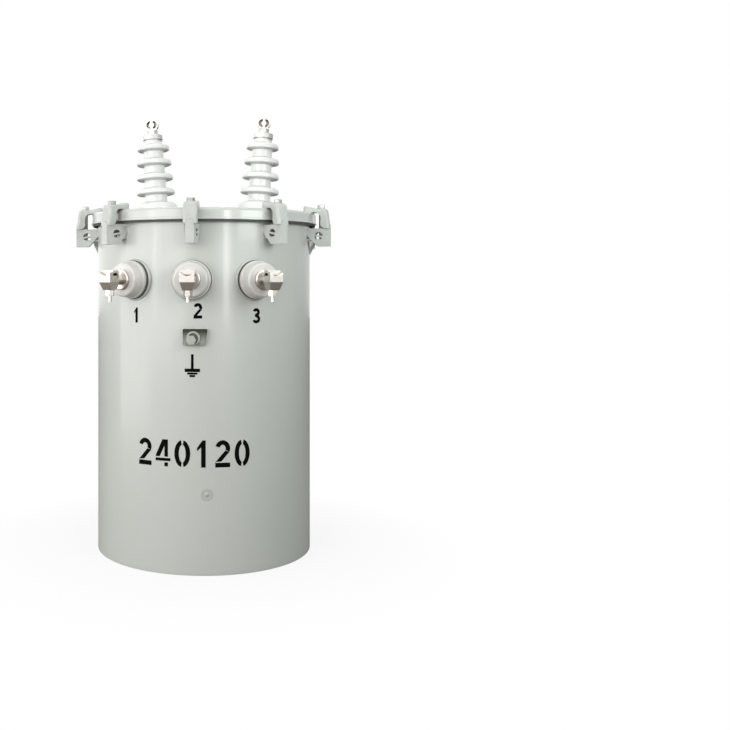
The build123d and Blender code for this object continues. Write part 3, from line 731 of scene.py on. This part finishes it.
@dataclass
class WeldBeads:
    """Fillet welds that join the ears, lugs, pad and brackets to the wall."""

    enamel: bpy.types.Material
    leg: float = 2.2 * MM
    sides: int = 8
    # A ripple's length, how many rings draw it, and how much it swells
    ripple: float = 3.5 * MM
    rings_per_ripple: int = 4
    ripple_share: float = 0.16
    # How far apart the points are where a bead runs round the wall
    chord: float = 4.0 * MM
    # Where the welded pieces meet the wall: metres sideways from an azimuth, and levels
    ear_count: int = 9
    ear_edge: float = 0.0205
    ear_levels: Pair = (0.8885, 0.9055)
    lug_azimuth: float = 90.0
    lug_edge: float = 0.0195
    lug_level: float = 0.8365
    pad_corners: tuple[Pair, ...] = (
        (-0.024, 0.5955), (0.0335, 0.5955), (0.040, 0.6365), (-0.024, 0.6365),
    )
    bracket_azimuth: float = 180.0
    bracket_edge: float = 0.0558
    bracket_half: float = 0.045
    bracket_levels: Pair = (0.160, 0.7506)

    def bead(self, name: str, path: list[Vector], closed: bool = False) -> None:
        """Lays one rippled bead along a path on the wall.

        Args:
            name: the piece's name.
            path: points along the bead's middle.
            closed: whether its end meets its start.
        """
        body = bmesh.new()
        points = self.spaced(path)
        sides = self.sides
        rings = []
        for i, point in enumerate(points):
            before = points[i - 1] if i or closed else point
            after = points[(i + 1) % len(points)] if i + 1 < len(points) or closed else point
            along = (after - before).normalized()
            off_wall = Vector((point.x, point.y, 0.0)).normalized()
            across = along.cross(off_wall).normalized()
            # The ring's size swings with the ripple
            size = self.leg * (1.0 + self.ripple_share * sin(2 * pi * i / self.rings_per_ripple))
            rings.append([
                body.verts.new(point + (across * cos(t) + off_wall * sin(t)) * size)
                for t in (2 * pi * k / sides for k in range(sides))
            ])
        spans = len(rings) if closed else len(rings) - 1
        for i in range(spans):
            a, b = rings[i], rings[(i + 1) % len(rings)]
            for k in range(sides):
                body.faces.new((a[k], a[(k + 1) % sides], b[(k + 1) % sides], b[k]))
        if not closed:
            body.faces.new(rings[0])
            body.faces.new(rings[-1])
        add_piece(name, body, self.enamel)

    def spaced(self, path: list[Vector]) -> list[Vector]:
        """Gives points along a path, a few to each ripple.

        Args:
            path: the path's corners.

        Returns:
            The corners with evenly spaced points between them.
        """
        step = self.ripple / self.rings_per_ripple
        points = []
        for a, b in zip(path, path[1:]):
            count = max(1, round((b - a).length / step))
            points += [a.lerp(b, i / count) for i in range(count)]
        return points + [path[-1]]

    def line(self, azimuth: float, a: Pair, b: Pair) -> list[Vector]:
        """Gives points on the wall from one place to another.

        Args:
            azimuth: degrees from the front of the places' middle line.
            a: metres sideways and height of the start.
            b: the same for the end.

        Returns:
            The points, with short chords between them.
        """
        steps = max(1, round(abs(b[0] - a[0]) / self.chord))
        return [
            on_wall(azimuth, a[0] + (b[0] - a[0]) * i / steps, a[1] + (b[1] - a[1]) * i / steps, 0.0)
            for i in range(steps + 1)
        ]

    def build(self) -> None:
        """Lays every bead."""
        low, high = self.ear_levels
        for i in range(self.ear_count):
            azimuth = i * 360.0 / self.ear_count
            for edge, side in ((-self.ear_edge, "a"), (self.ear_edge, "b")):
                self.bead(f"ear_weld_{i + 1}{side}", self.line(azimuth, (edge, low), (edge, high)))
        for azimuth, side in ((-self.lug_azimuth, "left"), (self.lug_azimuth, "right")):
            path = self.line(azimuth, (-self.lug_edge, self.lug_level), (self.lug_edge, self.lug_level))
            self.bead(f"lug_weld_{side}", path)
        path = []
        for a, b in zip(self.pad_corners, self.pad_corners[1:] + self.pad_corners[:1]):
            path += self.line(0.0, a, b)[:-1]
        self.bead("pad_weld", path, closed=True)
        for level, bracket in zip(self.bracket_levels, ("lower", "upper")):
            for edge, side in ((-self.bracket_edge, "left"), (self.bracket_edge, "right")):
                ends = (edge, level - self.bracket_half), (edge, level + self.bracket_half)
                self.bead(f"bracket_weld_{bracket}_{side}", self.line(self.bracket_azimuth, *ends))


@dataclass
class Tank:
    """The tank with its cover, clamps, gaskets, lugs and brackets, and a plug on its wall."""

    # The wall's coat: thick and smooth, with soft reflections under a thin glossy skin
    enamel: SprayedEnamel = SprayedEnamel("enamel_sprayed_light_grey", "c6c9c4", "c3c7c1", clear=0.5)
    # On the small clamps the coat is a touch rougher, and its tone changes from piece to piece
    clamp_enamel: SprayedEnamel = SprayedEnamel(
        "enamel_sprayed_on_clamps", "cacdc9", "bfc3be", roughness=0.36, patch_mm=30.0
    )
    # The cover is glossier than the wall, so its skirt catches narrow lights
    cover_enamel: SprayedEnamel = SprayedEnamel(
        "enamel_sprayed_on_cover", "cacdc8", "c5c9c3", clear=0.8
    )
    # Moulded rubber gone grey: the dark line of each joint, with hardly a highlight
    rubber: MattCoat = MattCoat("nitrile_rubber_moulded", "50534f", "5c5f5b", 0.75, 1.8, 0.05, shine=0.3)
    # Impregnated paper and oil, dark brown and dull
    fill: MattCoat = MattCoat("core_and_oil_sealed", "4a4338", "3d372e", 0.6, 6.0, 0.2)
    # Dull zinc on bolts and washers, with grey painted shade where they face down
    bolts: WorkedMetal = WorkedMetal(
        "zinc_plated_steel", "a9aca6", "6a6a63", 0.45, 1.6, 0.01, under_shade_share=0.3
    )
    # The plug's coat was brushed, so it is a little darker and duller than the wall's
    plug_enamel: SprayedEnamel = SprayedEnamel("enamel_brushed_on_plug", "b7bab5", "b2b5b0", roughness=0.4)
    plug_azimuth: float = 7.0
    plug_level: float = 0.209
    plug_sides: int = 48
    # Radius and height off the wall, in millimetres, from the rim over the dish to the middle
    plug_profile: tuple[Pair, ...] = (
        (15.5, 0.0), (15.2, 0.9), (14.3, 1.1), (10.5, 0.15), (3.4, 0.15), (2.7, 1.2), (1.2, 1.5),
    )

    def build(self, frame: dict[str, Any]) -> bpy.types.Material:
        """Dresses the tank's solids.


        Returns:
            The wall's enamel, for the welds.
        """
        enamel = dress(
            frame, self.enamel, "tank_wall", "tank_bottom", "tank_rim",
            "lifting_lug_left", "lifting_lug_right", "hanger_bracket_lower", "hanger_bracket_upper",
        )
        dress(frame, self.cover_enamel, "cover")
        hooks = [f"clamp_hook_{i}" for i in range(1, 10)]
        dress(frame, self.clamp_enamel, "clamp_ears", *hooks)
        dress(frame, self.rubber, "cover_gasket", "hv_gaskets", "lv_gaskets")
        dress(frame, self.fill, "core_and_oil")
        dress(frame, self.bolts, "clamp_bolts")
        self.plug()
        return enamel

    def plug(self) -> None:
        """Lays the painted, dished disc that closes a hole low on the wall."""
        body = bmesh.new()
        sides = self.plug_sides
        rings = []
        for radius_mm, proud_mm in self.plug_profile:
            radius = radius_mm * MM
            rings.append([
                body.verts.new(on_wall(
                    self.plug_azimuth, radius * cos(t), self.plug_level + radius * sin(t), proud_mm * MM
                ))
                for t in (2 * pi * k / sides for k in range(sides))
            ])
        for a, b in zip(rings, rings[1:]):
            for k in range(sides):
                body.faces.new((a[k], a[(k + 1) % sides], b[(k + 1) % sides], b[k]))
        body.faces.new(rings[-1])
        add_piece("plug_disc", body, self.plug_enamel.material())


@dataclass
class Bushings:
    """The high and low voltage bushings with their metalwork."""

    # Grey white glaze with painted shade below each shed, which sets the sheds off from each other
    high_porcelain: GlazedPorcelain = GlazedPorcelain(
        "porcelain_glazed_light_grey", "f1f1ef", "e9eae8", under_shade_colour="8b8f8c", under_shade_share=0.5
    )
    # A warmer white glaze, a little less glossy, with a little painted shade on faces that look down
    low_porcelain: GlazedPorcelain = GlazedPorcelain(
        "porcelain_glazed_off_white", "dfdcd9", "d6d3cf", roughness=0.2, under_shade_share=0.2
    )
    # Cast and blasted aluminium: pale, almost matt, with painted shade as a thin dark line in the groove
    cap_metal: WorkedMetal = WorkedMetal(
        "aluminium_cast", "d2d2cf", "8e8e8a", 0.58, 9.0, 0.002, hollow_mm=4.0, hollow_share=0.6,
        stain_share=0.05,
    )
    # Tin plate on bronze: silvery outside, with brown oxide and painted shade deep in the cup
    cup_metal: WorkedMetal = WorkedMetal(
        "bronze_tin_plated_cup", "d8d5cf", "6a6357", 0.42, 1.6, 0.004, hollow_mm=12.0, hollow_share=1.0,
        stain_share=0.12,
    )
    # Tin plate on bronze: bright faces, brown painted shade where the eye faces down, and oxide with painted
    # shade in its hollows
    eye_metal: WorkedMetal = WorkedMetal(
        "bronze_tin_plated_eye", "e2ddd7", "6c5e50", 0.3, 3.0, 0.004, hollow_mm=12.0, under_shade_share=0.7,
        stain_share=0.12,
    )

    def build(self, frame: dict[str, Any]) -> None:
        """Dresses the bushings' solids.
        """
        for side in ("left", "right"):
            dress(frame, self.high_porcelain, f"hv_bushing_{side}")
            dress(frame, self.cap_metal, f"hv_cap_{side}")
            dress(frame, self.cup_metal, f"hv_terminal_{side}")
        for i in (1, 2, 3):
            dress(frame, self.low_porcelain, f"lv_bushing_{i}")
            dress(frame, self.eye_metal, f"lv_terminal_{i}", f"lv_clamp_screw_{i}")


@dataclass
class GroundPad:
    """The ground pad under the middle bushing."""

    # Bare steel, darker towards its upper edge, from near black to grey, with oxide and painted shade in its
    # hollows
    pad_metal: WorkedMetal = WorkedMetal(
        "steel_left_bare_brown", "8a8d86", "2b2a27", 0.5, 1.8, 0.03, hollow_share=0.8,
        dark_from=0.606, dark_to=0.630, dark_share=0.9,
    )
    # Stainless steel, satin from its forming
    bolt_metal: WorkedMetal = WorkedMetal("stainless_steel_bolt", "a3a59f", "57534c", 0.45, 1.6, 0.01)

    def build(self, frame: dict[str, Any]) -> None:
        """Dresses the pad and its bolt.
        """
        dress(frame, self.pad_metal, "ground_pad")
        dress(frame, self.bolt_metal, "ground_bolt")


@dataclass(frozen=True)
class SoftBox:
    """A rectangular soft lamp, which the camera doesn't see."""

    name: str
    place: Point
    target: Point
    size: Pair
    watts: float
    colour: Colour = LAMP_WHITE

    def build(self) -> None:
        """Adds the lamp, turned to its target."""
        light = bpy.data.lights.new(self.name, "AREA")
        light.shape = "RECTANGLE"
        light.size, light.size_y = self.size
        light.energy = self.watts
        light.color = self.colour
        lamp = bpy.data.objects.new(self.name, light)
        lamp.visible_camera = False
        lamp.location = self.place
        facing = Vector(self.target) - Vector(self.place)
        lamp.rotation_euler = facing.to_track_quat("-Z", "Y").to_euler()
        bpy.context.scene.collection.objects.link(lamp)


@dataclass
class Studio:
    """A white room with soft lamps in front, mostly on the left, and the camera."""

    camera_place: Point = (0.269, -2.697, 0.770)
    lens_mm: float = 46.05
    sensor_mm: float = 36.0
    shift: Pair = (0.2205, -0.1205)
    lamps: tuple[SoftBox, ...] = (
        # Two large ones, one above the other, light the wall and the cover's skirt
        SoftBox("main_low", (-1.55, -2.7, 1.05), (0.0, 0.0, 0.55), (2.1, 1.7), 21.5),
        SoftBox("main_high", (-1.7, -2.95, 1.9), (0.0, 0.0, 0.6), (2.1, 1.8), 22.0),
        # Narrow ones show as upright bands in the gloss
        SoftBox("strip_left", (-2.711, -1.503, 0.62), (0.0, 0.0, 0.6), (0.16, 1.1), 0.6),
        SoftBox("strip_middle", (-2.15, -2.23, 0.95), (0.0, 0.0, 0.8), (0.12, 0.7), 2.4),
        SoftBox("strip_right", (1.42, -2.755, 1.0), (0.0, 0.0, 0.8), (0.3, 0.9), 10.0),
        # Weak, cool ones keep the right side of the cover and the bushings from going dark
        SoftBox("fill_right", (1.5, -1.35, 1.5), (0.0, 0.0, 0.85), (1.0, 1.0), 1.2, LAMP_COOL),
        SoftBox("near_right", (1.0, -0.9, 1.12), (0.2, -0.2, 0.95), (0.5, 0.4), 4.4, LAMP_COOL),
        # The foot of the wall's left side, and the top
        SoftBox("low_left", (-2.4, -0.9, 0.5), (0.0, 0.0, 0.2), (2.0, 1.5), 21.0),
        SoftBox("top", (0.0, -0.3, 3.4), (0.0, 0.0, 0.9), (2.4, 2.4), 16.0, PURE_WHITE),
    )
    floor_size: float = 30.0
    # The floor as other surfaces see it: grey in their light, and a little paler in their gloss
    floor_bounce: str = "817e7c"
    floor_gloss: str = "a29e99"
    # The floor as the camera sees it: how pale it is in full light, how much of it shows white
    # by itself near the part, and between which distances in metres it turns all white
    floor_pale: str = "e7e7e7"
    floor_white: str = "ffffff"
    floor_white_share: float = 0.84
    shadow_start: float = 0.3
    shadow_reach: float = 0.75
    # The room's soft light, and what glossy surfaces mirror of it on the left and on the right
    room_tint: Colour = (0.96, 0.99, 1.0)
    room_strength: float = 0.5
    mirror_tint: Colour = (0.99, 1.0, 1.0)
    mirror_left: float = 1.6
    mirror_right: float = 0.7

    def build(self) -> None:
        """Sets up floor, world, lamps and camera."""
        self.floor()
        self.world()
        for lamp in self.lamps:
            lamp.build()
        self.camera()
        bpy.context.scene.view_settings.view_transform = "Standard"
        LOG.info("studio set up")

    def floor(self) -> None:
        """Lays a floor that shows white and keeps the object's shadow."""
        half = self.floor_size / 2
        mesh = bpy.data.meshes.new("studio_floor")
        corners = [(-half, -half, 0), (half, -half, 0), (half, half, 0), (-half, half, 0)]
        mesh.from_pydata(corners, [], [(0, 1, 2, 3)])
        floor = bpy.data.objects.new("studio_floor", mesh)
        bpy.context.scene.collection.objects.link(floor)
        material, tree = new_tree("studio_floor_white")
        path = add_node(tree, "ShaderNodeLightPath")
        tint = add_node(
            tree, "ShaderNodeMixRGB",
            {"Color1": linear(self.floor_bounce), "Color2": linear(self.floor_gloss)},
            {"Fac": path.outputs["Is Glossy Ray"]},
        )
        matt = add_node(tree, "ShaderNodeBsdfDiffuse", links={"Color": tint.outputs["Color"]})
        lit = add_node(tree, "ShaderNodeBsdfDiffuse", {"Color": linear(self.floor_pale)})
        glow = add_node(tree, "ShaderNodeEmission", {"Color": linear(self.floor_white), "Strength": 1.0})
        # White all over away from the object, and open to its shadow round its foot
        place = add_node(tree, "ShaderNodeTexCoord")
        away = add_node(
            tree, "ShaderNodeVectorMath", {"operation": "LENGTH"}, {0: place.outputs["Object"]}
        )
        share = add_node(
            tree, "ShaderNodeMapRange",
            {
                "From Min": self.shadow_start, "From Max": self.shadow_reach,
                "To Min": self.floor_white_share, "To Max": 1.0,
            },
            {"Value": away.outputs["Value"]},
        )
        pale = add_node(
            tree, "ShaderNodeMixShader", links={
                0: share.outputs["Result"], 1: lit.outputs["BSDF"], 2: glow.outputs["Emission"],
            },
        )
        chosen = add_node(
            tree, "ShaderNodeMixShader", links={
                0: path.outputs["Is Camera Ray"], 1: matt.outputs["BSDF"], 2: pale.outputs["Shader"],
            },
        )
        add_node(tree, "ShaderNodeOutputMaterial", links={"Surface": chosen.outputs["Shader"]})
        mesh.materials.append(material)

    def world(self) -> None:
        """Makes the world show white and light the object softly."""
        world = bpy.data.worlds.new("studio_world")
        bpy.context.scene.world = world
        world.use_nodes = True
        tree = world.node_tree
        tree.nodes.clear()
        path = add_node(tree, "ShaderNodeLightPath")
        seen = add_node(
            tree, "ShaderNodeMath", {"operation": "MAXIMUM"},
            {0: path.outputs["Is Camera Ray"], 1: path.outputs["Is Transmission Ray"]},
        )
        white = add_node(tree, "ShaderNodeBackground", {"Color": (*PURE_WHITE, 1.0), "Strength": 1.0})
        soft = add_node(
            tree, "ShaderNodeBackground", {"Color": (*self.room_tint, 1.0), "Strength": self.room_strength}
        )
        # In glossy surfaces the white room shows bright on the left and dimmer on the right
        place = add_node(tree, "ShaderNodeTexCoord")
        turned = add_node(tree, "ShaderNodeSeparateXYZ", links={"Vector": place.outputs["Generated"]})
        brightness = add_node(
            tree, "ShaderNodeMapRange",
            {"From Min": -0.7, "From Max": 0.8, "To Min": self.mirror_left, "To Max": self.mirror_right},
            {"Value": turned.outputs["X"]},
        )
        room = add_node(
            tree, "ShaderNodeBackground", {"Color": (*self.mirror_tint, 1.0)},
            {"Strength": brightness.outputs["Result"]},
        )
        lighting = add_node(
            tree, "ShaderNodeMixShader", links={
                0: path.outputs["Is Glossy Ray"],
                1: soft.outputs["Background"],
                2: room.outputs["Background"],
            },
        )
        chosen = add_node(
            tree, "ShaderNodeMixShader", links={
                0: seen.outputs["Value"], 1: lighting.outputs["Shader"], 2: white.outputs["Background"],
            },
        )
        add_node(tree, "ShaderNodeOutputWorld", links={"Surface": chosen.outputs["Shader"]})

    def camera(self) -> None:
        """Places the camera at the photograph's viewing angle."""
        data = bpy.data.cameras.new("camera")
        data.lens = self.lens_mm
        data.sensor_width = self.sensor_mm
        data.shift_x, data.shift_y = self.shift
        camera = bpy.data.objects.new("camera", data)
        camera.location = self.camera_place
        level = Vector((0.0, 0.0, self.camera_place[2])) - Vector(self.camera_place)
        camera.rotation_euler = level.to_track_quat("-Z", "Y").to_euler()
        bpy.context.scene.collection.objects.link(camera)
        bpy.context.scene.camera = camera


def main() -> None:
    """Builds the studio and the transformer's parts, and reports each."""
    logging.basicConfig(level=logging.INFO)
    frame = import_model()
    Studio().build()
    enamel = Tank().build(frame)
    Bushings().build(frame)
    GroundPad().build(frame)
    WeldBeads(enamel).build()
    Markings().build()
    bpy.context.view_layer.update()


if __name__ == "__main__":
    main()
